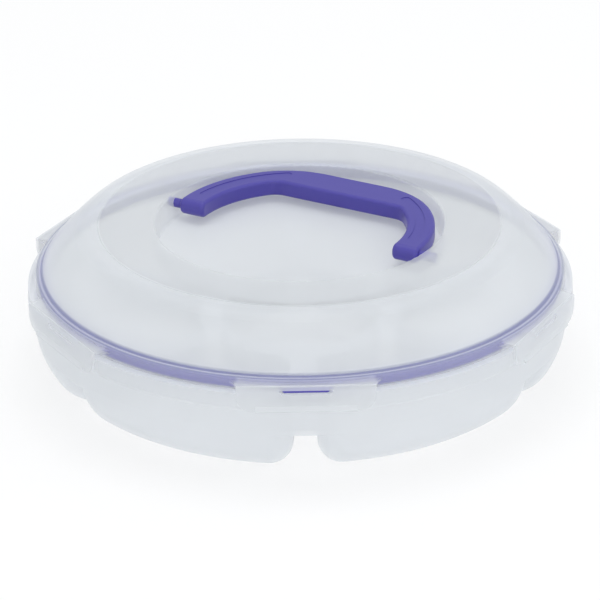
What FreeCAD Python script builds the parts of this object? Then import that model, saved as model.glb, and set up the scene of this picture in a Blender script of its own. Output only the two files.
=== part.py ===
import FreeCAD, Part
import math
import os
import re

import Sketcher
from FreeCAD import Placement, Rotation, Vector

# Round divided snack container: a tray with six wells about a centre well, a domed
# lid that seals on a gasket, six side latches on hinges and a folding bail handle.
# +Z is up, the front latch faces -Y, and the origin is the centre of the resting face.

doc = FreeCAD.newDocument("snack_container")

# Driving sizes, in millimetres, degrees and counts

SIZES = {
    "wall": (1.8, "wall of the tray and the lid"),
    "latch_count": (6, "latches, and wells under them"),
    "hinge_reach": (152.0, "from the axis to a latch's hinge line"),
    "hinge_height": (60.0, "height of the hinge lines above the table"),
    # the tray
    "foot_radius": (148.9, "bowl wall carried down to the table, before its bend"),
    "bowl_radius": (150.5, "bowl wall under the neck"),
    "bowl_bend": (34.0, "bend from the wall to the floor"),
    "neck_height": (44.0, "where the wall leans in to the rim"),
    "neck_radius": (145.2, "neck under the flange"),
    "flange_radius": (153.5, "skirt of the tray's flange"),
    "flange_low": (47.0, "lower edge of the flange's skirt"),
    "flange_high": (55.0, "upper face of the flange"),
    "flange_plate": (1.6, "thickness of the flange and its skirt"),
    "flat_reach": (149.0, "flat on the flange behind each latch"),
    "flange_lean": (0.3, "how far the skirt leans in over its height"),
    "catch_low": (51.4, "lower edge of the catch under the flange"),
    "catch_half": (28.0, "half the catch's length"),
    "catch_depth": (1.7, "thickness of the catch"),
    "seal_radius": (143.6, "outer face of the lip that meets the gasket"),
    "seal_top": (58.0, "top of that lip"),
    "seal_lip": (1.8, "thickness of that lip"),
    "rib_top": (30.0, "underside of the hollow dividers"),
    "rib_foot": (7.0, "half the divider's hollow at the table"),
    "rib_crown": (5.7, "half the divider's hollow at its top"),
    "divider_start": (50.0, "inner ends of the dividers, inside the hub's hollow"),
    "hub_inner": (45.0, "outside of the centre well at the table"),
    "hub_outer": (57.0, "inner ends of the outer wells at the table"),
    "hub_draft": (1.6, "lean of the hub's walls over their height"),
    "well_corner": (13.0, "rounding of the outer wells' ends"),
    "hub_corner": (9.0, "rounding of the wells at the hub"),
    # the lid
    "recess_floor": (74.5, "top of the floor of the handle's recess"),
    "recess_foot": (79.9, "radius of the recess at its floor"),
    "recess_radius": (81.2, "radius of the recess at its edge"),
    "recess_edge_round": (1.5, "rounding of the recess's edge and foot"),
    "plateau_height": (88.4, "flat top of the lid, outside its raised panel"),
    "panel_rise": (0.4, "rise of the panel round the recess"),
    "panel_reach": (113.0, "outer edge of that panel"),
    "plateau_radius": (116.9, "where the top starts to round over"),
    "crest_bend": (13.7, "rounding over the crest"),
    "crest_turn": (42.0, "degrees turned by that rounding"),
    "flank_foot": (145.4, "foot of the lid's flank"),
    "flank_low": (63.4, "height of that foot"),
    "rim_radius": (149.0, "outside of the lid's skirt"),
    "rim_high": (62.3, "top of the skirt"),
    "rim_low": (55.4, "lower edge of the skirt"),
    "rim_bevel": (1.0, "bevel of the skirt's upper edge"),
    "skirt": (1.6, "thickness of the skirt and the gasket channel"),
    "channel_top": (61.0, "roof of the gasket channel"),
    "channel_inner": (140.2, "inner wall of the channel"),
    "channel_low": (57.0, "lower edge of that wall"),
    "shelf": (1.6, "thickness of the shelf that carries a latch"),
    "shelf_half": (37.3, "half the hinge line's length"),
    "shelf_root_half": (42.0, "half the shelf's length at the rim"),
    "shelf_root": (148.2, "radius of the shelf's root, inside the skirt"),
    "shelf_hollow": (12.0, "hollow of the shelf's ends"),
    "window_half": (14.0, "half the window's length in latch and skirt"),
    "window_low": (55.6, "lower edge of the latch's window"),
    "window_high": (58.2, "upper edge of the window"),
    # the gasket
    "gasket_outer": (147.1, "outside of the gasket"),
    "gasket_inner": (140.5, "inside of the gasket"),
    "gasket_top": (60.8, "top of the gasket"),
    "gasket_low": (55.9, "lower edge of its legs"),
    "gasket_slot_outer": (144.0, "outer side of the slot for the tray's lip"),
    "gasket_slot_inner": (141.4, "inner side of that slot"),
    "gasket_slot_top": (58.3, "roof of that slot"),
    # a latch
    "panel": (1.6, "thickness of the latch"),
    "hinge_gap": (0.12, "clearance round the hinge bead"),
    "panel_half": (37.0, "half the latch's length"),
    "panel_low": (46.0, "lower edge of the latch"),
    "panel_corner": (9.0, "rounding of its lower corners"),
    "slot_low": (55.5, "lower edge of the latch's slot"),
    "slot_high": (58.0, "upper edge of the slot"),
    "slot_round": (1.8, "rounding of the slot's lower corners"),
    "hook_low": (48.8, "lower edge of the hook inside the latch"),
    "hook_high": (51.0, "upper edge of the hook"),
    "hook_half": (26.0, "half the hook's length"),
    "hook_depth": (1.9, "reach of the hook from the latch"),
    "lip_high": (49.0, "top of the finger lip"),
    "lip_depth": (1.2, "reach of the finger lip"),
    "lip_edge": (0.6, "height of the lip's blunt edge"),
    "overlap": (0.1, "how far the hook and the lip start inside the latch"),
    "lip_half": (27.0, "half the finger lip's length"),
    # the handle
    "bail_outer": (75.8, "outside radius of the arms"),
    "bail_inner": (60.2, "inside radius of the arms"),
    "grip_outer": (67.2, "outer face of the straight grip"),
    "grip_inner": (45.2, "inner face of the straight grip"),
    "bail_high": (87.9, "top of the handle"),
    "bail_low": (78.3, "underside of the handle"),
    "bail_heel": (4.9, "arm's end past the pivot"),
    "bail_round": (2.0, "rounding of the handle's long edges"),
    "heel_round": (4.2, "rounding of the arms' ends"),
    "handle_turn": (60.0, "degrees from +X to the grip"),
    "grip_round": (50.0, "rounding where arms meet the grip"),
    "pivot_height": (83.1, "pivot above the table"),
    "pin_radius": (2.7, "pivot pin"),
    "pin_root": (73.8, "start of a pin, inside the arm"),
    "pin_gap": (0.06, "running clearance round a pin"),
    "pin_reach": (85.0, "end of a pin from the axis"),
    "boss_radius": (4.4, "boss round a pin's socket"),
    "boss_reach": (87.2, "outer end of a boss"),
    "grip_inner_round": (10.0, "rounding inside that corner"),
    "dish_inner": (64.6, "inner radius of the shallow dish along each arm's top"),
    "dish_outer": (70.2, "outer radius of that dish"),
    "dish_start": (34.0, "degrees from the grip's middle to the dish's first end"),
    "dish_stop": (83.0, "degrees from the grip's middle to its second end"),
    "dish_end": (3.1, "rounding of its ends"),
    "dish_depth": (0.3, "depth of that dish"),
}

# Sizes worked out from the driving ones
WORKED_OUT = {
    "recess_top": "plateau_height + panel_rise",
    "crest_x": "plateau_radius + crest_bend * sin(crest_turn * 1 deg)",
    "crest_z": "plateau_height - crest_bend * (1 - cos(crest_turn * 1 deg))",
    "flank_run": "flank_foot - crest_x",
    "flank_drop": "flank_low - crest_z",
    "flank_bend": "-(flank_run ^ 2 + flank_drop ^ 2) / 2"
                  " / (flank_run * sin(crest_turn * 1 deg) + flank_drop * cos(crest_turn * 1 deg))",
    "flank_centre_x": "crest_x - flank_bend * sin(crest_turn * 1 deg)",
    "flank_centre_z": "crest_z - flank_bend * cos(crest_turn * 1 deg)",
    "inner_crest_x": "crest_x - wall * sin(crest_turn * 1 deg)",
    "inner_crest_z": "crest_z - wall * cos(crest_turn * 1 deg)",
    "channel_roof": "channel_top + skirt",
    "inner_foot": "flank_centre_x + sqrt((flank_bend - wall) ^ 2 - (channel_roof - flank_centre_z) ^ 2)",
    "bead": "panel / 2",
    "bead_hollow": "bead + hinge_gap",
    "shelf_low": "hinge_height - shelf / 2",
    "shelf_high": "hinge_height + shelf / 2",
    "shelf_reach": "hinge_reach - sqrt(bead_hollow ^ 2 - (shelf / 2) ^ 2)",
    "shelf_root_reach": "sqrt(shelf_root ^ 2 - shelf_root_half ^ 2)",
    "bail_height": "bail_high - bail_low",
    "heel_outer": "sqrt(bail_outer ^ 2 - bail_heel ^ 2)",
    "heel_inner": "sqrt(bail_inner ^ 2 - bail_heel ^ 2)",
    "outer_half": "sqrt((bail_outer - grip_round) ^ 2 - (grip_outer - grip_round) ^ 2)",
    "outer_turn_x": "(grip_outer - grip_round) * bail_outer / (bail_outer - grip_round)",
    "outer_turn_y": "outer_half * bail_outer / (bail_outer - grip_round)",
    "inner_half": "sqrt((bail_inner - grip_inner_round) ^ 2 - (grip_inner - grip_inner_round) ^ 2)",
    "inner_turn_x": "(grip_inner - grip_inner_round) * bail_inner / (bail_inner - grip_inner_round)",
    "inner_turn_y": "inner_half * bail_inner / (bail_inner - grip_inner_round)",
    "start_x": "cos(dish_start * 1 deg)",
    "start_y": "sin(dish_start * 1 deg)",
    "stop_x": "cos(dish_stop * 1 deg)",
    "stop_y": "sin(dish_stop * 1 deg)",
}

sheet = doc.addObject("Spreadsheet::Sheet", "sizes")


def sheet_names(text):
    """Put the sheet's name before each of its aliases in a formula."""
    def named(match):
        word = match.group()
        return "sizes." + word if word in SIZES or word in WORKED_OUT else word
    return re.sub(r"[a-z_]+", named, text)


def fill_sheet():
    row = 1
    for name, (number, note) in SIZES.items():
        sheet.set(f"A{row}", name)
        sheet.set(f"B{row}", str(number))
        sheet.set(f"C{row}", note)
        sheet.setAlias(f"B{row}", name)
        row += 1
    for name, formula in WORKED_OUT.items():
        sheet.set(f"A{row}", name)
        sheet.set(f"B{row}", "=" + formula)
        sheet.setAlias(f"B{row}", name)
        row += 1
    doc.recompute()


def value(text):
    """The number that a formula in the sheet's names gives."""
    found = sheet.evalExpression(sheet_names(str(text)))
    return float(getattr(found, "Value", found))


fill_sheet()

# Sketches and features

# Slack, in millimetres, when an edge is looked up by its place
NEAR = 0.2
TOUCHING = 0.01


def origin_part(body, role):
    return next(part for part in body.Origin.OriginFeatures if part.Role == role)


def new_body(name):
    body = doc.addObject("PartDesign::Body", name)
    body.Label = name
    return body


def new_sketch(body, name, plane, lift=""):
    sketch = body.newObject("Sketcher::SketchObject", name)
    sketch.AttachmentSupport = [(origin_part(body, plane), "")]
    sketch.MapMode = "FlatFace"
    if lift:
        sketch.setExpression("AttachmentOffset.Base.z", sheet_names(lift))
    return sketch


def hold_point(sketch, geometry, end, x_text, y_text):
    """Fix one end of a sketch edge at a place given by two formulas."""
    for kind, text, axis in (("DistanceX", x_text, -2), ("DistanceY", y_text, -1)):
        if text == "0":
            sketch.addConstraint(Sketcher.Constraint("PointOnObject", geometry, end, axis))
            continue
        number = sketch.addConstraint(Sketcher.Constraint(kind, -1, 1, geometry, end, value(text)))
        sketch.setExpression(f"Constraints[{number}]", sheet_names(text))


def arc_between(start, stop, radius, turn):
    """An arc from start to stop, bending left or right as it goes."""
    side = 1 if turn == "left" else -1
    chord = stop - start
    across = Vector(-chord.y, chord.x, 0) * (1 / chord.Length)
    rise = math.sqrt(max(radius ** 2 - chord.Length ** 2 / 4, 0))
    centre = (start + stop) * 0.5 + across * (side * rise)
    first, last = (start, stop) if side > 0 else (stop, start)
    angles = [math.atan2(p.y - centre.y, p.x - centre.x) for p in (first, last)]
    if angles[1] < angles[0]:
        angles[1] += 2 * math.pi
    return Part.ArcOfCircle(Part.Circle(centre, Vector(0, 0, 1), radius), *angles)


def draw(sketch, corners):
    """A closed outline. A corner is (x, y), or (x, y, radius, turn) when an arc leads to it."""
    spots = [Vector(value(c[0]), value(c[1]), 0) for c in corners]
    starts, ends, numbers = [], [], []
    for index, corner in enumerate(corners):
        start, stop = spots[index - 1], spots[index]
        if len(corner) == 2:
            numbers.append(sketch.addGeometry(Part.LineSegment(start, stop), False))
            starts.append(1)
            ends.append(2)
            continue
        arc = arc_between(start, stop, value(corner[2]), corner[3])
        numbers.append(sketch.addGeometry(arc, False))
        starts.append(1 if corner[3] == "left" else 2)
        ends.append(2 if corner[3] == "left" else 1)
    for index, corner in enumerate(corners):
        following = (index + 1) % len(corners)
        sketch.addConstraint(Sketcher.Constraint(
            "Coincident", numbers[index], ends[index], numbers[following], starts[following]))
        hold_point(sketch, numbers[index], ends[index], corner[0], corner[1])
        if len(corner) > 2:
            radius = sketch.addConstraint(
                Sketcher.Constraint("Radius", numbers[index], value(corner[2])))
            sketch.setExpression(f"Constraints[{radius}]", sheet_names(corner[2]))
    return sketch


def turned(body, name, corners, kind="PartDesign::Revolution"):
    """Turn a section, drawn in radius and height, about the vertical axis."""
    feature = body.newObject(kind, name)
    feature.Profile = draw(new_sketch(body, name + "_section", "XZ_Plane"), corners)
    feature.ReferenceAxis = (feature.Profile[0], ["V_Axis"])
    feature.Angle = 360
    return feature


def pushed(body, name, plane, corners, length, lift="", kind="PartDesign::Pad", back=False, both=False):
    """Push an outline off its plane, to add or, as a pocket, to take away."""
    feature = body.newObject(kind, name)
    feature.Profile = draw(new_sketch(body, name + "_outline", plane, lift), corners)
    feature.setExpression("Length", sheet_names(length))
    feature.Midplane = both
    feature.Reversed = back
    return feature


def repeated(body, name, features):
    """The same features once under every latch."""
    pattern = body.newObject("PartDesign::PolarPattern", name)
    pattern.Originals = features
    pattern.Axis = (origin_part(body, "Z_Axis"), [""])
    pattern.Angle = 360
    pattern.setExpression("Occurrences", sheet_names("latch_count"))
    body.Tip = pattern
    return pattern


def rounded(body, name, radius, wanted):
    """Round each edge of the body's last feature that wanted says yes to."""
    doc.recompute()
    base = body.Tip
    edges = [f"Edge{n}" for n, edge in enumerate(base.Shape.Edges, 1) if wanted(edge)]
    feature = body.newObject("PartDesign::Fillet", name)
    feature.Base = (base, edges)
    feature.setExpression("Radius", sheet_names(radius))
    body.Tip = feature
    return feature


def middle(edge):
    return edge.valueAt((edge.FirstParameter + edge.LastParameter) / 2)


def on_ring(radius, height):
    """Picks the round edges of one radius at one height."""
    def wanted(edge):
        spot = middle(edge)
        return (abs(math.hypot(spot.x, spot.y) - value(radius)) < NEAR
                and abs(spot.z - value(height)) < NEAR and edge.BoundBox.ZLength < NEAR)
    return wanted


def box_corners(half, low, high):
    return [(f"-{half}", low), (half, low), (half, high), (f"-{half}", high)]


# The tray


def divider_angle(spot):
    """Degrees from the nearest divider's middle."""
    step = 360 / value("latch_count")
    around = math.degrees(math.atan2(spot.x, -spot.y)) % step
    return min(around, step - around)


def bowl(name, skin, top_section):
    """The tray's outside or, a wall further in, its inside: a bowl over hollow dividers."""
    body = new_body(name)
    turned(body, name + "_bowl", [
        ("0", skin),
        (f"foot_radius - {skin}", skin),
        (f"bowl_radius - {skin}", "neck_height"),
        *top_section,
    ])
    rounded(body, name + "_bend", f"bowl_bend - {skin}", on_ring(f"foot_radius - {skin}", skin))
    turned(body, name + "_hub", [
        (f"hub_inner - {skin}", "0"),
        (f"hub_outer + {skin}", "0"),
        (f"hub_outer + {skin} - hub_draft", f"rib_top + {skin}"),
        (f"hub_inner - {skin} + hub_draft", f"rib_top + {skin}"),
    ], "PartDesign::Groove")
    slot = pushed(body, name + "_divider", "XZ_Plane", [
        (f"-rib_foot - {skin}", "0"),
        (f"rib_foot + {skin}", "0"),
        (f"rib_crown + {skin}", f"rib_top + {skin}"),
        (f"-rib_crown - {skin}", f"rib_top + {skin}"),
    ], "flange_radius", "divider_start", "PartDesign::Pocket", back=True)
    repeated(body, name + "_dividers", [slot])

    def upright_at_hub(edge):
        spot = middle(edge)
        away = abs(math.hypot(spot.x, spot.y) - value(f"hub_outer + {skin} - hub_draft / 2"))
        return away < NEAR and edge.BoundBox.ZLength > value("rib_top") / 2

    def outer_well_edge(edge):
        spot = middle(edge)
        return (math.hypot(spot.x, spot.y) > value("hub_outer - hub_draft")
                and divider_angle(spot) < 90 / value("latch_count")
                and spot.z < value("rib_top") - NEAR
                and edge.BoundBox.ZMax < value(f"rib_top + {skin}") + NEAR)

    rounded(body, name + "_hub_corners", f"hub_corner - {skin}", upright_at_hub)
    rounded(body, name + "_well_corners", f"well_corner - {skin}", outer_well_edge)
    rounded(body, name + "_centre_well", f"hub_corner - {skin}", on_ring(f"hub_inner - {skin}", skin))
    return body


tray_outside = bowl("tray_outside", "0", [
    ("neck_radius", "flange_high - flange_plate"),
    ("flange_radius - flange_plate", "flange_high - flange_plate"),
    ("flange_radius - flange_plate", "flange_low"),
    ("flange_radius", "flange_low"),
    ("flange_radius - flange_lean", "flange_high"),
    ("seal_radius", "flange_high"),
    ("seal_radius", "seal_top"),
    ("0", "seal_top"),
])
tray_flat = pushed(tray_outside, "latch_flat", "XZ_Plane",
                   box_corners("shelf_root_half", "flange_low", "flange_high"),
                   "flange_radius - flat_reach", "flat_reach", "PartDesign::Pocket", back=True)
tray_catch = pushed(tray_outside, "latch_catch", "XZ_Plane",
                    box_corners("catch_half", "catch_low", "flange_high - flange_plate"),
                    "catch_depth", "flat_reach - catch_depth")
repeated(tray_outside, "latch_flats", [tray_flat, tray_catch])

tray_inside = bowl("tray_inside", "wall", [
    ("neck_radius - wall", "flange_high - flange_plate"),
    ("seal_radius - seal_lip", "flange_high"),
    ("seal_radius - seal_lip", "seal_top + wall"),
    ("0", "seal_top + wall"),
])

tray = doc.addObject("Part::Cut", "tray")
tray.Label = "tray"
tray.Base = tray_outside
tray.Tool = tray_inside

# The lid

lid = new_body("lid")
turned(lid, "lid_shell", [
    ("0", "recess_floor - wall"),
    ("recess_foot + wall", "recess_floor - wall"),
    ("recess_radius + wall", "plateau_height - wall"),
    ("plateau_radius", "plateau_height - wall"),
    ("inner_crest_x", "inner_crest_z", "crest_bend - wall", "right"),
    ("inner_foot", "channel_roof", "flank_bend - wall", "right"),
    ("channel_inner - skirt", "channel_roof"),
    ("channel_inner - skirt", "channel_low"),
    ("channel_inner", "channel_low"),
    ("channel_inner", "channel_top"),
    ("rim_radius - skirt", "channel_top"),
    ("rim_radius - skirt", "rim_low"),
    ("rim_radius", "rim_low"),
    ("rim_radius", "rim_high - rim_bevel"),
    ("rim_radius - rim_bevel", "rim_high"),
    ("flank_foot + rim_bevel / 2", "rim_high"),
    ("flank_foot", "flank_low"),
    ("crest_x", "crest_z", "flank_bend", "left"),
    ("plateau_radius", "plateau_height", "crest_bend", "left"),
    ("panel_reach + panel_rise", "plateau_height"),
    ("panel_reach", "recess_top"),
    ("recess_radius", "recess_top"),
    ("recess_foot", "recess_floor"),
    ("0", "recess_floor"),
])
rounded(lid, "recess_edge", "recess_edge_round", on_ring("recess_radius", "recess_top"))
rounded(lid, "recess_bend", "recess_edge_round", on_ring("recess_foot", "recess_floor"))

shelf = pushed(lid, "shelf", "XY_Plane", [
    ("-shelf_root_half", "-shelf_root_reach", "shelf_root", "right"),
    ("-shelf_half", "-shelf_reach", "shelf_hollow", "right"),
    ("shelf_half", "-shelf_reach"),
    ("shelf_root_half", "-shelf_root_reach", "shelf_hollow", "right"),
], "shelf", "shelf_low")
bead_seat = pushed(lid, "bead_seat", "YZ_Plane", [
    ("-hinge_reach - bead_hollow", "shelf_low - shelf"),
    ("-hinge_reach + bead_hollow", "shelf_low - shelf"),
    ("-hinge_reach + bead_hollow", "hinge_height"),
    ("-shelf_reach", "shelf_high", "bead_hollow", "left"),
    ("-shelf_reach", "shelf_high + shelf"),
    ("-hinge_reach - bead_hollow", "shelf_high + shelf"),
], "2 * shelf_root_half", kind="PartDesign::Pocket", both=True)
window = pushed(lid, "window", "XZ_Plane", box_corners("window_half", "window_low", "window_high"),
                "hinge_reach - gasket_outer", "gasket_outer - skirt / 2", "PartDesign::Pocket", back=True)
repeated(lid, "latch_places", [shelf, bead_seat, window])


def pivot_disc(body, name, radius, start, stop, side, kind):
    """A round pad or pocket along the handle's pivot axis, on one side of the lid."""
    feature = body.newObject(kind, name)
    sketch = new_sketch(body, name + "_outline", "XZ_Plane")
    turn = Rotation(Vector(0, 1, 0), value("handle_turn") + side)
    sketch.AttachmentOffset = Placement(turn.multVec(Vector(0, 0, value(start))), turn)
    sketch.addGeometry(Part.Circle(Vector(0, value("pivot_height"), 0), Vector(0, 0, 1), value(radius)))
    sketch.addConstraint(Sketcher.Constraint("PointOnObject", 0, 3, -2))
    height = sketch.addConstraint(Sketcher.Constraint("DistanceY", -1, 1, 0, 3, value("pivot_height")))
    sketch.setExpression(f"Constraints[{height}]", "sizes.pivot_height")
    size = sketch.addConstraint(Sketcher.Constraint("Radius", 0, value(radius)))
    sketch.setExpression(f"Constraints[{size}]", sheet_names(radius))
    feature.Profile = sketch
    feature.setExpression("Length", sheet_names(f"{stop} - ({start})"))
    feature.Reversed = kind == "PartDesign::Pocket"
    return feature


for side, word in ((0, "right"), (180, "left")):
    pivot_disc(lid, "boss_" + word, "boss_radius", "recess_radius + wall / 2", "boss_reach", side,
               "PartDesign::Pad")
    pivot_disc(lid, "socket_" + word, "pin_radius + pin_gap", "recess_foot - wall", "pin_reach + 2 * pin_gap",
               side, "PartDesign::Pocket")

# The gasket

gasket = new_body("gasket")
turned(gasket, "gasket_ring", [
    ("gasket_inner", "gasket_low"),
    ("gasket_slot_inner", "gasket_low"),
    ("gasket_slot_inner", "gasket_slot_top"),
    ("gasket_slot_outer", "gasket_slot_top"),
    ("gasket_slot_outer", "gasket_low"),
    ("gasket_outer", "gasket_low"),
    ("gasket_outer", "gasket_top"),
    ("gasket_inner", "gasket_top"),
])

# The latches

LATCHES = ("latch_front", "latch_front_right", "latch_back_right",
           "latch_back", "latch_back_left", "latch_front_left")


def latch(name, turn):
    body = new_body(name)
    pushed(body, name + "_panel", "XZ_Plane", [
        ("-panel_half", "hinge_height"),
        ("-panel_half", "panel_low + panel_corner"),
        ("-panel_half + panel_corner", "panel_low", "panel_corner", "left"),
        ("panel_half - panel_corner", "panel_low"),
        ("panel_half", "panel_low + panel_corner", "panel_corner", "left"),
        ("panel_half", "hinge_height"),
    ], "panel", "hinge_reach", both=True)
    bead = body.newObject("PartDesign::AdditiveCylinder", name + "_bead")
    bead.AttachmentSupport = [(origin_part(body, "YZ_Plane"), "")]
    bead.MapMode = "FlatFace"
    bead.setExpression("AttachmentOffset.Base.x", "-sizes.hinge_reach")
    bead.setExpression("AttachmentOffset.Base.y", "sizes.hinge_height")
    bead.setExpression("AttachmentOffset.Base.z", "-sizes.panel_half")
    bead.setExpression("Radius", "sizes.bead")
    bead.setExpression("Height", "2 * sizes.panel_half")
    pushed(body, name + "_slot", "XZ_Plane", [
        ("-window_half", "slot_high"),
        ("-window_half", "slot_low + slot_round"),
        ("-window_half + slot_round", "slot_low", "slot_round", "left"),
        ("window_half - slot_round", "slot_low"),
        ("window_half", "slot_low + slot_round", "slot_round", "left"),
        ("window_half", "slot_high"),
    ], "2 * panel", "hinge_reach", kind="PartDesign::Pocket", both=True)
    pushed(body, name + "_hook", "YZ_Plane", [
        ("-hinge_reach + bead - overlap", "hook_low - hook_depth / 2"),
        ("-hinge_reach + bead + hook_depth", "hook_low + hook_depth / 2"),
        ("-hinge_reach + bead + hook_depth", "hook_high"),
        ("-hinge_reach + bead - overlap", "hook_high"),
    ], "2 * hook_half", both=True)
    pushed(body, name + "_lip", "YZ_Plane", [
        ("-hinge_reach - bead + overlap", "panel_low"),
        ("-hinge_reach - bead + overlap", "lip_high"),
        ("-hinge_reach - bead", "lip_high"),
        ("-hinge_reach - bead - lip_depth", "panel_low + lip_edge"),
        ("-hinge_reach - bead - lip_depth", "panel_low"),
    ], "2 * lip_half", both=True)
    body.Placement = Placement(Vector(), Rotation(Vector(0, 0, 1), turn))
    return body


latches = [latch(name, 360 * place / len(LATCHES)) for place, name in enumerate(LATCHES)]

# The handle, drawn with its grip along +X and its pivot axis along Y, then turned

handle = new_body("handle")
pushed(handle, "bail", "XY_Plane", [
    ("-bail_heel", "-heel_outer"),
    ("outer_turn_x", "-outer_turn_y", "bail_outer", "left"),
    ("grip_outer", "-outer_half", "grip_round", "left"),
    ("grip_outer", "outer_half"),
    ("outer_turn_x", "outer_turn_y", "grip_round", "left"),
    ("-bail_heel", "heel_outer", "bail_outer", "left"),
    ("-bail_heel", "heel_inner"),
    ("inner_turn_x", "inner_turn_y", "bail_inner", "right"),
    ("grip_inner", "inner_half", "grip_inner_round", "right"),
    ("grip_inner", "-inner_half"),
    ("inner_turn_x", "-inner_turn_y", "grip_inner_round", "right"),
    ("-bail_heel", "-heel_inner", "bail_inner", "right"),
], "bail_height", "pivot_height", both=True)


def across_heel(edge):
    spot = middle(edge)
    return abs(spot.x + value("bail_heel")) < TOUCHING and edge.BoundBox.YLength > value("heel_round")


def along_bail(edge):
    spot = middle(edge)
    away = min(abs(spot.z - value(level)) for level in ("bail_low", "bail_high"))
    return edge.BoundBox.ZLength < TOUCHING and away < TOUCHING and spot.x > TOUCHING - value("bail_heel")


rounded(handle, "heels", "heel_round", across_heel)
rounded(handle, "bail_edges", "bail_round", along_bail)
for sign, turns in (("", ("left", "right")), ("-", ("right", "left"))):
    word = "left" if sign else "right"
    pushed(handle, "dish_" + word, "XY_Plane", [
        ("dish_inner * start_x", f"{sign}dish_inner * start_y", "dish_inner", turns[1]),
        ("dish_outer * start_x", f"{sign}dish_outer * start_y", "dish_end", turns[0]),
        ("dish_outer * stop_x", f"{sign}dish_outer * stop_y", "dish_outer", turns[0]),
        ("dish_inner * stop_x", f"{sign}dish_inner * stop_y", "dish_end", turns[0]),
    ], "dish_depth", "bail_high", "PartDesign::Pocket")
for side, word in ((0, "right"), (180, "left")):
    feature = handle.newObject("PartDesign::AdditiveCylinder", "pin_" + word)
    feature.AttachmentSupport = [(origin_part(handle, "XZ_Plane"), "")]
    feature.MapMode = "FlatFace"
    turn = Rotation(Vector(0, 1, 0), side)
    start = turn.multVec(Vector(0, 0, value("pin_root")))
    feature.AttachmentOffset = Placement(start + Vector(0, value("pivot_height"), 0), turn)
    feature.setExpression("Radius", "sizes.pin_radius")
    feature.setExpression("Height", "sizes.pin_reach - sizes.pin_root")
handle.Placement = Placement(Vector(), Rotation(Vector(0, 0, 1), value("handle_turn")))

# Check and write

NODES = [tray, lid, gasket, handle, *latches]

doc.recompute()
for item in doc.Objects:
    if "Invalid" in item.State or "Error" in item.State:
        raise RuntimeError(f"{item.Name}: {item.State}")
os.makedirs("parts", exist_ok=True)
for node in NODES:
    shape = node.Shape
    if shape.isNull() or not shape.isValid() or len(shape.Solids) != 1:
        raise RuntimeError(f"{node.Label}: {len(shape.Solids)} solids, valid {shape.isValid()}")
    shape.exportStep(f"parts/{node.Label}.step")
    box = shape.BoundBox
    print(f"{node.Label}: {box.XLength:.1f} x {box.YLength:.1f} x {box.ZLength:.1f} mm,"
          f" {shape.Volume / 1000:.1f} cm3")
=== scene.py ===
# %% [markdown]
# A round divided snack container in frosted plastic, seen from the front and a little above. Six
# latches hold a domed lid on a tray, a violet gasket seals the two, and a violet handle lies folded
# in a recess of the lid.
#
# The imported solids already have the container's shapes, so this lesson is mostly about finish.
# Frosted plastic is the hard part, because its look depends on what lies behind it. Each step below
# gives one finish, adds one piece or sets up one part of the studio.

# %% The frame and the tools
import math

import bmesh
import bpy
from mathutils import Matrix, Vector


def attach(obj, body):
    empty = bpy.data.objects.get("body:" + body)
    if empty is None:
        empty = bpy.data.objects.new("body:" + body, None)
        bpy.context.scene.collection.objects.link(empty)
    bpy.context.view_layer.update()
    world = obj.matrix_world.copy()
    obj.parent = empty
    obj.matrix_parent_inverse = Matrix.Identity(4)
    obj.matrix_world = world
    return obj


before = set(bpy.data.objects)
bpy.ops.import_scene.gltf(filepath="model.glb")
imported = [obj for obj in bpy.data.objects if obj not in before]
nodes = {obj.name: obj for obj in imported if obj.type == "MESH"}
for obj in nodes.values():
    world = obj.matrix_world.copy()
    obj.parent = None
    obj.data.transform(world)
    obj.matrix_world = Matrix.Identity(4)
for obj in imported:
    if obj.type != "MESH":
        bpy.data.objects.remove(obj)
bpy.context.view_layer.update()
LATCHES = [name for name in nodes if name.startswith("latch_")]
print("nodes:", len(nodes), "latches:", len(LATCHES))

# %% [markdown]
# A material is a small network of nodes. Writing one in a script repeats a few acts: a node is added,
# its values are set and its sockets are linked. They could be written out each time, but short
# helpers for them keep the materials below easy to read.

# %% Helpers for node trees
def add(tree, kind, **settings):
    """A node with its properties and, by socket name, its input values."""
    node = tree.nodes.new(kind)
    for name, setting in settings.items():
        if hasattr(node, name):
            setattr(node, name, setting)
        else:
            node.inputs[name.replace("_", " ")].default_value = setting
    return node


def link(tree, source, target):
    tree.links.new(source, target)


def calculate(tree, operation, first, second=0.0, **settings):
    """The result of a Math node whose inputs are numbers or other nodes' outputs."""
    node = add(tree, "ShaderNodeMath", operation=operation, **settings)
    for target, entry in zip(node.inputs, (first, second)):
        if isinstance(entry, bpy.types.NodeSocket):
            link(tree, entry, target)
        else:
            target.default_value = entry
    return node.outputs[0]


def map_range(tree, value, low, high, **settings):
    """The result of a Map Range node that turns 0 to 1 into low to high."""
    node = add(tree, "ShaderNodeMapRange", To_Min=low, To_Max=high, **settings)
    link(tree, value, node.inputs["Value"])
    return node.outputs["Result"]


def group_socket(tree, name, kind, direction="INPUT", default=None):
    made = tree.interface.new_socket(name=name, in_out=direction, socket_type=kind)
    if default is not None:
        made.default_value = default
    return made


# %% [markdown]
# The photographer stood back and used a long lens, which keeps the near and the far side of the
# container almost the same size. A camera could be placed by eye, but one built from angles is easy
# to correct: this one stands a little over two metres away, 25 degrees above the table, and is turned
# by about a degree, because the container in the picture isn't quite square on.

# %% The camera
PITCH = 0.4380
YAW = 0.0163
ROLL = 0.0098
DISTANCE = 2.040
TARGET = Vector((-0.00026, 0.0, 0.0392))
LENS_MM = 216.3
SENSOR_MM = 36
SIGHT_LIMIT = 50

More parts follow.
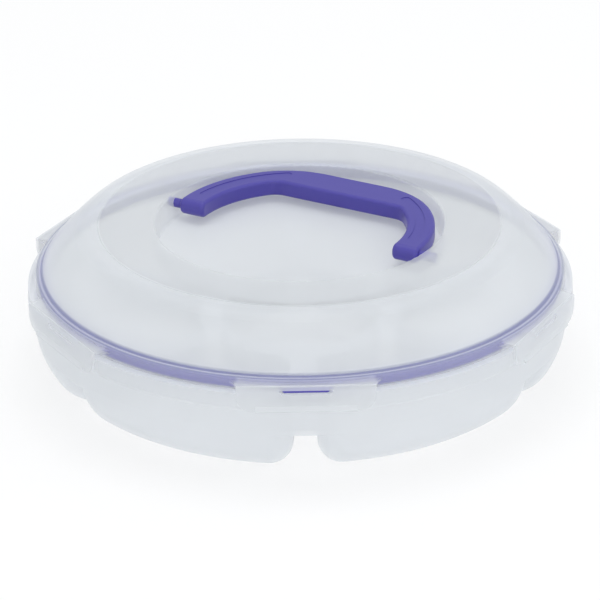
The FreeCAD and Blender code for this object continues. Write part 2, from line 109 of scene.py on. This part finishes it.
unturn = Matrix.Rotation(-YAW, 3, "Z")
right = Vector((1, 0, 0))
up = Vector((0, math.sin(PITCH), math.cos(PITCH)))
back = Vector((0, -math.cos(PITCH), math.sin(PITCH)))
tilted_right = right * math.cos(ROLL) - up * math.sin(ROLL)
tilted_up = up * math.cos(ROLL) + right * math.sin(ROLL)
axes = unturn @ Matrix((tilted_right, tilted_up, back)).transposed()

camera = bpy.data.objects.new("camera", bpy.data.cameras.new("camera"))
bpy.context.scene.collection.objects.link(camera)
camera.matrix_world = Matrix.Translation(unturn @ (TARGET + back * DISTANCE)) @ axes.to_4x4()
camera.data.lens = LENS_MM
camera.data.sensor_width = SENSOR_MM
camera.data.clip_end = SIGHT_LIMIT
bpy.context.scene.camera = camera
print("camera at", [round(c, 3) for c in camera.matrix_world.translation])

# %% [markdown]
# Every moulded skin has a little unevenness: a fine grain from the tool's surface and broad, very
# shallow waves where the plastic cooled. An image of scratches could give this, but it would need
# the surface unfolded. Noise that is read in the object's own coordinates needs no unfolding and
# has no seams. One node group makes both, and each material says how strong and how fine they are.

# %% The moulded skin, shared by all materials
GRAIN_DEPTH = 0.0001
WAVE_DEPTH = 0.002
WAVE_SCALE = 14.0
WAVE_ROUGHNESS = 0.12


def moulded_skin():
    tree = bpy.data.node_groups.new("moulded_skin", "ShaderNodeTree")
    group_socket(tree, "Roughness", "NodeSocketFloat", default=0.4)
    group_socket(tree, "Grain size", "NodeSocketFloat", default=2500.0)
    group_socket(tree, "Grain", "NodeSocketFloat", default=0.1)
    group_socket(tree, "Waves", "NodeSocketFloat", default=0.3)
    group_socket(tree, "Roughness", "NodeSocketFloat", "OUTPUT")
    group_socket(tree, "Normal", "NodeSocketVector", "OUTPUT")
    inlet = tree.nodes.new("NodeGroupInput")
    outlet = tree.nodes.new("NodeGroupOutput")
    place = tree.nodes.new("ShaderNodeTexCoord")
    grain = add(tree, "ShaderNodeTexNoise", Detail=2.0)
    link(tree, place.outputs["Object"], grain.inputs["Vector"])
    link(tree, inlet.outputs["Grain size"], grain.inputs["Scale"])
    waves = add(tree, "ShaderNodeTexNoise", Scale=WAVE_SCALE, Detail=1.0)
    link(tree, place.outputs["Object"], waves.inputs["Vector"])
    grain_bump = add(tree, "ShaderNodeBump", Distance=GRAIN_DEPTH)
    link(tree, grain.outputs["Fac"], grain_bump.inputs["Height"])
    link(tree, inlet.outputs["Grain"], grain_bump.inputs["Strength"])
    wave_bump = add(tree, "ShaderNodeBump", Distance=WAVE_DEPTH)
    link(tree, waves.outputs["Fac"], wave_bump.inputs["Height"])
    link(tree, inlet.outputs["Waves"], wave_bump.inputs["Strength"])
    link(tree, grain_bump.outputs["Normal"], wave_bump.inputs["Normal"])
    link(tree, wave_bump.outputs["Normal"], outlet.inputs["Normal"])
    extra = calculate(tree, "MULTIPLY", waves.outputs["Fac"], WAVE_ROUGHNESS)
    worn = calculate(tree, "ADD", extra, inlet.outputs["Roughness"])
    link(tree, worn, outlet.inputs["Roughness"])
    return tree


SKIN = moulded_skin()
print("moulded skin:", len(SKIN.nodes), "nodes")

# %% A material with that skin
def skinned(name, color, roughness, grain_size=2500.0, grain=0.1, waves=0.3):
    """A material whose Principled shader takes its roughness and normal from the shared group."""
    material = bpy.data.materials.new(name)
    material.use_nodes = True
    tree = material.node_tree
    shader = tree.nodes["Principled BSDF"]
    skin = add(tree, "ShaderNodeGroup", node_tree=SKIN)
    skin.inputs["Roughness"].default_value = roughness
    skin.inputs["Grain size"].default_value = grain_size
    skin.inputs["Grain"].default_value = grain
    skin.inputs["Waves"].default_value = waves
    link(tree, skin.outputs["Roughness"], shader.inputs["Roughness"])
    link(tree, skin.outputs["Normal"], shader.inputs["Normal"])
    shader.inputs["Base Color"].default_value = (*color, 1)
    return material, shader


# %% [markdown]
# Frosted polypropylene is milky: part of the light goes through a wall and comes out scattered, and
# what lies close behind shows through. Glass with a rough inside could make it, but it is slow and
# comes out grainy through several walls. So each wall here is a mix: a share of it is a plain
# surface, lit from both sides, and the rest lets the view pass. The surface's share is its cover.
# It is larger at a glancing angle, where the way through the wall is longer.
#
# Light meets less of the wall than the eye does, because what the plastic scatters still arrives.
# Only the outer faces count, or each wall would be seen twice.

# %% How much a wall hides
EDGE_BLEND = 0.35
LIGHT_STOPPED = 0.12


def cover_by_angle(tree, face_on, glancing):
    angle = add(tree, "ShaderNodeLayerWeight", Blend=EDGE_BLEND)
    return map_range(tree, angle.outputs["Facing"], face_on, glancing)


def outer_cover(tree, cover):
    """The cover as the camera sees it, the smaller one that light meets, and none on inner faces."""
    path = tree.nodes.new("ShaderNodeLightPath")
    chosen = map_range(tree, path.outputs["Is Camera Ray"], LIGHT_STOPPED, 1.0)
    link(tree, cover, chosen.node.inputs["To Max"])
    side = tree.nodes.new("ShaderNodeNewGeometry")
    outside = calculate(tree, "SUBTRACT", 1.0, side.outputs["Backfacing"])
    return calculate(tree, "MULTIPLY", chosen, outside)


# %% [markdown]
# The lid isn't equally milky all over. Its top panel round the handle is clearer than its crest,
# and it hides least at the outside of its rim, where it lies right on the violet gasket. Two thin
# lines of dark violet are painted at the foot of the dome and on the top of the rim: painted shade
# in the groove there, and a painted view of the gasket through the wall. Under each latch the rim is
# thicker, and milkier again.
#
# These zones could be separate pieces, but on the real lid they are one moulding. All of them follow
# from two measures: how far a point is from the axis, and how far round it is from the nearest
# latch. The first feeds two ramps, and a cosine that swings once per latch gives the second.

# %% Measures round the axis
RAMP_REACH = 0.16
NEAR_BEGINS = -0.02
NEAR_FULL = -0.14


def axis_measures(tree):
    """A point's distance from the axis as a share of RAMP_REACH, its height, and 1 beside a latch."""
    place = tree.nodes.new("ShaderNodeTexCoord")
    parts = tree.nodes.new("ShaderNodeSeparateXYZ")
    link(tree, place.outputs["Object"], parts.inputs["Vector"])
    flat = add(tree, "ShaderNodeVectorMath", operation="MULTIPLY")
    flat.inputs[1].default_value = (1, 1, 0)
    link(tree, place.outputs["Object"], flat.inputs[0])
    length = add(tree, "ShaderNodeVectorMath", operation="LENGTH")
    link(tree, flat.outputs["Vector"], length.inputs[0])
    share = calculate(tree, "DIVIDE", length.outputs["Value"], RAMP_REACH)
    bearing = calculate(tree, "ARCTAN2", parts.outputs["Y"], parts.outputs["X"])
    swing = calculate(tree, "COSINE", calculate(tree, "MULTIPLY", bearing, len(LATCHES)))
    near = map_range(tree, swing, 0.0, 1.0, interpolation_type="SMOOTHSTEP",
                     From_Min=NEAR_BEGINS, From_Max=NEAR_FULL)
    return share, parts.outputs["Z"], near


# %% The lid's rings and its painted lines
LID_COVER = ((0.0800, 1.0), (0.0818, 0.64), (0.1120, 0.64), (0.1134, 1.0), (0.1430, 1.0), (0.1462, 0.96),
             (0.1482, 0.96), (0.1488, 0.52))
# Where the two lines of painted shade lie, how high they start, and their dark violet: painted shade in the
# groove at the dome's foot and on the rim, and a painted view of the gasket through the wall.
PAINTED_LINE_RINGS = ((0.1446, 0.0), (0.1451, 0.8), (0.1457, 0.8), (0.1461, 0.1), (0.1471, 0.1), (0.1475, 0.7),
             (0.1482, 0.7), (0.1486, 0.0))
PAINTED_LINES_ABOVE = 0.0600
PAINTED_LINE_COLOR = (0.30, 0.33, 0.47)
RIM_START = 0.1482
NEAR_COVER = 1.5


def ring_ramp(tree, share, rings):
    """A value that changes with the distance from the axis: rings holds (distance, value) pairs."""
    ramp = tree.nodes.new("ShaderNodeValToRGB")
    stops = ramp.color_ramp.elements
    while len(stops) < len(rings):
        stops.new(0.5)
    for stop, (distance, level) in zip(stops, rings):
        stop.position = distance / RAMP_REACH
        stop.color = (level, level, level, 1)
    link(tree, share, ramp.inputs["Fac"])
    return ramp.outputs["Color"]


def ringed_cover(tree, cover, share, near):
    """The cover, lower on the clearer rings, and higher at the rim beside a latch."""
    ringed = calculate(tree, "MULTIPLY", cover, ring_ramp(tree, share, LID_COVER))
    thicker = map_range(tree, near, 1.0, NEAR_COVER)
    milkier = calculate(tree, "MULTIPLY", ringed, thicker, use_clamp=True)
    chosen = add(tree, "ShaderNodeMix", data_type="FLOAT")
    link(tree, calculate(tree, "GREATER_THAN", share, RIM_START / RAMP_REACH), chosen.inputs["Factor"])
    link(tree, ringed, chosen.inputs["A"])
    link(tree, milkier, chosen.inputs["B"])
    return chosen.outputs["Result"]


def with_painted_lines(tree, color, share, height):
    """The plastic's colour, with two painted violet lines on the rim: painted shade in the groove and a
    painted view of the gasket.
    """
    high = calculate(tree, "GREATER_THAN", height, PAINTED_LINES_ABOVE)
    painted_strength = calculate(tree, "MULTIPLY", ring_ramp(tree, share, PAINTED_LINE_RINGS), high)
    paint = add(tree, "ShaderNodeMix", data_type="RGBA")
    paint.inputs["A"].default_value = (*color, 1)
    paint.inputs["B"].default_value = (*PAINTED_LINE_COLOR, 1)
    link(tree, painted_strength, paint.inputs["Factor"])
    return paint.outputs["Result"]


# %% [markdown]
# The tray, the lid and the latches are the same plastic at three thicknesses. One function makes all
# three materials, and each says how much it hides face on and at a glancing angle. Only the lid asks
# for the rings and for the two lines of painted shade.

# %% Frosted plastic
WALL_COLOR = (0.80, 0.83, 0.86)
WALL_ROUGHNESS = 0.32
WALL_WAVES = 0.15
WALL_SPECULAR = 0.4
LIT_SHARE = 0.3


def frosted(name, face_on, glancing, ringed=False):
    material, shader = skinned(name, WALL_COLOR, WALL_ROUGHNESS, waves=WALL_WAVES)
    tree = material.node_tree
    shader.inputs["Specular IOR Level"].default_value = WALL_SPECULAR
    glow = add(tree, "ShaderNodeBsdfTranslucent")
    glow.inputs["Color"].default_value = (*WALL_COLOR, 1)
    cover = cover_by_angle(tree, face_on, glancing)
    if ringed:
        share, height, near = axis_measures(tree)
        cover = ringed_cover(tree, cover, share, near)
        # The lid's colour gets the two painted violet lines: painted shade in the groove and a painted view
        # of the gasket.
        color = with_painted_lines(tree, WALL_COLOR, share, height)
        link(tree, color, shader.inputs["Base Color"])
        link(tree, color, glow.inputs["Color"])
    body = add(tree, "ShaderNodeMixShader", Fac=LIT_SHARE)
    link(tree, shader.outputs["BSDF"], body.inputs[1])
    link(tree, glow.outputs["BSDF"], body.inputs[2])
    clear = tree.nodes.new("ShaderNodeBsdfTransparent")
    wall = tree.nodes.new("ShaderNodeMixShader")
    link(tree, outer_cover(tree, cover), wall.inputs["Fac"])
    link(tree, clear.outputs["BSDF"], wall.inputs[1])
    link(tree, body.outputs["Shader"], wall.inputs[2])
    link(tree, wall.outputs["Shader"], tree.nodes["Material Output"].inputs["Surface"])
    return material


lid_plastic = frosted("frosted_lid", 0.62, 0.92, ringed=True)
tray_plastic = frosted("frosted_tray", 0.75, 0.95)
latch_plastic = frosted("frosted_latch", 0.6, 0.9)
print("frosted:", lid_plastic.name, tray_plastic.name, latch_plastic.name)

# %% [markdown]
# The handle is a solid violet moulding with a satin skin, and the gasket is soft violet silicone.
# Both are thick enough to hide what is behind them, so a Principled shader alone makes them. A thin
# coat gives the handle its soft highlight, and a little sheen gives the silicone its dusty edge.

# %% Handle and gasket
handle_plastic, handle_shader = skinned("violet_plastic", (0.058, 0.046, 0.325), 0.4, grain=0.2)
handle_shader.inputs["Coat Weight"].default_value = 0.05
silicone, silicone_shader = skinned("violet_silicone", (0.07, 0.06, 0.37), 0.5, grain=0.25)
silicone_shader.inputs["Sheen Weight"].default_value = 0.15

FINISH = {"lid": lid_plastic, "tray": tray_plastic, "handle": handle_plastic, "gasket": silicone}
for name, node in nodes.items():
    node.data.materials.clear()
    node.data.materials.append(FINISH.get(name, latch_plastic))
print("finished nodes:", len(nodes))

# %% [markdown]
# A short silicone tongue on the gasket reaches out through the window in the lid's skirt. It stops
# just short of the front latch, so it shows dark in that latch's slot and the latch swings freely. A
# cube could be stretched to this size, but its sides would be straight and its corners sharp. So the
# outline is drawn once, with rounded corners, and repeated on three arcs about the container's axis.
# The last arc is a little smaller, which blunts the tip.

# %% The outline of the gasket's tongue
TONGUE_HALF = 0.0125
TONGUE_LOW = 0.0557
TONGUE_HIGH = 0.0581
TONGUE_ROUND = 0.0009
TONGUE_START = 0.1460
TONGUE_END = 0.1509
TIP_SCALE = 0.96
CORNER_STEPS = 4


def rounded_outline(half, low, high, radius):
    """The tongue seen from the front: points (x, z) with rounded corners, anticlockwise."""
    points = []
    corners = ((half, low, -90), (half, high, 0), (-half, high, 90), (-half, low, 180))
    for x, z, first in corners:
        centre_x = x - math.copysign(radius, x)
        centre_z = z + radius if z == low else z - radius
        for step in range(CORNER_STEPS + 1):
            turn = math.radians(first + 90 * step / CORNER_STEPS)
            points.append((centre_x + radius * math.cos(turn), centre_z + radius * math.sin(turn)))
    return points


outline = rounded_outline(TONGUE_HALF, TONGUE_LOW, TONGUE_HIGH, TONGUE_ROUND)
print("tongue outline:", len(outline), "points")

# %% The tongue
def tongue_ring(shape, reach, scale):
    """The outline at one distance from the axis, shrunk about its own middle."""
    middle = (TONGUE_LOW + TONGUE_HIGH) / 2
    ring = []
    for x, z in outline:
        wide = x * scale
        high = middle + (z - middle) * scale
        ring.append(shape.verts.new((wide, -math.sqrt(reach ** 2 - wide ** 2), high)))
    return ring


shape = bmesh.new()
rings = [tongue_ring(shape, TONGUE_START, 1.0),
         tongue_ring(shape, TONGUE_END - TONGUE_ROUND / 2, 1.0),
         tongue_ring(shape, TONGUE_END, TIP_SCALE)]
for inner, outer in zip(rings, rings[1:]):
    for index in range(len(outline)):
        following = (index + 1) % len(outline)
        shape.faces.new((inner[index], inner[following], outer[following], outer[index]))
shape.faces.new(rings[0])
shape.faces.new(list(reversed(rings[-1])))
bmesh.ops.recalc_face_normals(shape, faces=shape.faces)
tongue_mesh = bpy.data.meshes.new("gasket_tongue")
shape.to_mesh(tongue_mesh)
shape.free()
tongue_mesh.materials.append(silicone)
tongue = bpy.data.objects.new("gasket_tongue", tongue_mesh)
bpy.context.scene.collection.objects.link(tongue)
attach(tongue, "lid")
print("tongue:", len(tongue_mesh.polygons), "faces")

# %% [markdown]
# The container was photographed on white, with hardly a shadow. A white floor under strong lamps
# would give that too, but the lamps would wash out the pale plastic. So the floor is a plain pale
# surface that keeps the object's soft shadow, and half of what the camera sees of it, or of its
# reflection, is plain white.

# %% The floor
FLOOR_SIZE = 12.0
FLOOR_COLOR = (0.93, 0.93, 0.93)
FLOOR_ROUGHNESS = 0.9
WHITE_SHARE = 0.5

floor_mesh = bpy.data.meshes.new("floor")
sheet = bmesh.new()
bmesh.ops.create_grid(sheet, x_segments=1, y_segments=1, size=FLOOR_SIZE / 2)
sheet.to_mesh(floor_mesh)
sheet.free()
floor = bpy.data.objects.new("floor", floor_mesh)
bpy.context.scene.collection.objects.link(floor)

floor_paint = bpy.data.materials.new("pale_floor")
floor_paint.use_nodes = True
floor_mesh.materials.append(floor_paint)
floor_tree = floor_paint.node_tree
floor_shader = floor_tree.nodes["Principled BSDF"]
floor_shader.inputs["Base Color"].default_value = (*FLOOR_COLOR, 1)
floor_shader.inputs["Roughness"].default_value = FLOOR_ROUGHNESS
floor_shader.inputs["Specular IOR Level"].default_value = 0.0
white = add(floor_tree, "ShaderNodeEmission", Strength=1.0)
white.inputs["Color"].default_value = (1, 1, 1, 1)
eye = floor_tree.nodes.new("ShaderNodeLightPath")
mirrored = calculate(floor_tree, "MAXIMUM", eye.outputs["Is Glossy Ray"], eye.outputs["Is Transmission Ray"])
looked_at = calculate(floor_tree, "MAXIMUM", eye.outputs["Is Camera Ray"], mirrored)
blend = floor_tree.nodes.new("ShaderNodeMixShader")
link(floor_tree, calculate(floor_tree, "MULTIPLY", looked_at, WHITE_SHARE), blend.inputs["Fac"])
link(floor_tree, floor_shader.outputs["BSDF"], blend.inputs[1])
link(floor_tree, white.outputs["Emission"], blend.inputs[2])
link(floor_tree, blend.outputs["Shader"], floor_tree.nodes["Material Output"].inputs["Surface"])
print("floor:", FLOOR_SIZE, "m square")

# %% [markdown]
# White plastic needs soft light from nearly everywhere, or its shallow forms turn into hard shadows.
# A single sky would do that, but then nothing would show which way a surface turns. So a pale sky
# gives most of the light, and wide lamps overhead, at both sides and in front shape it.

# %% Sky and lamps
SKY_COLOR = (0.97, 0.985, 1.0)
SKY_STRENGTH = 0.75
LAMP_AIM = Vector((0, 0, 0.05))

world = bpy.data.worlds.new("studio")
bpy.context.scene.world = world
world.use_nodes = True
sky = world.node_tree.nodes["Background"]
sky.inputs["Color"].default_value = (*SKY_COLOR, 1)
sky.inputs["Strength"].default_value = SKY_STRENGTH


def area_light(name, place, size, power, color=(1, 1, 1)):
    """A round lamp, its size in metres and its power in watts, aimed at the container."""
    lamp = bpy.data.objects.new(name, bpy.data.lights.new(name, "AREA"))
    lamp.data.shape = "DISK"
    lamp.data.size = size
    lamp.data.energy = power
    lamp.data.color = color
    lamp.location = place
    lamp.rotation_euler = (LAMP_AIM - Vector(place)).to_track_quat("-Z", "Y").to_euler()
    bpy.context.scene.collection.objects.link(lamp)
    return lamp


area_light("overhead", (0.0, 0.3, 2.2), size=1.6, power=14)
area_light("left", (-1.8, -0.9, 1.2), size=1.2, power=2.5, color=(0.97, 0.99, 1.0))
area_light("right", (1.8, -0.6, 1.0), size=1.2, power=5)
area_light("front", (0.2, -2.0, 0.7), size=1.4, power=7)
bpy.context.scene.view_settings.view_transform = "Standard"
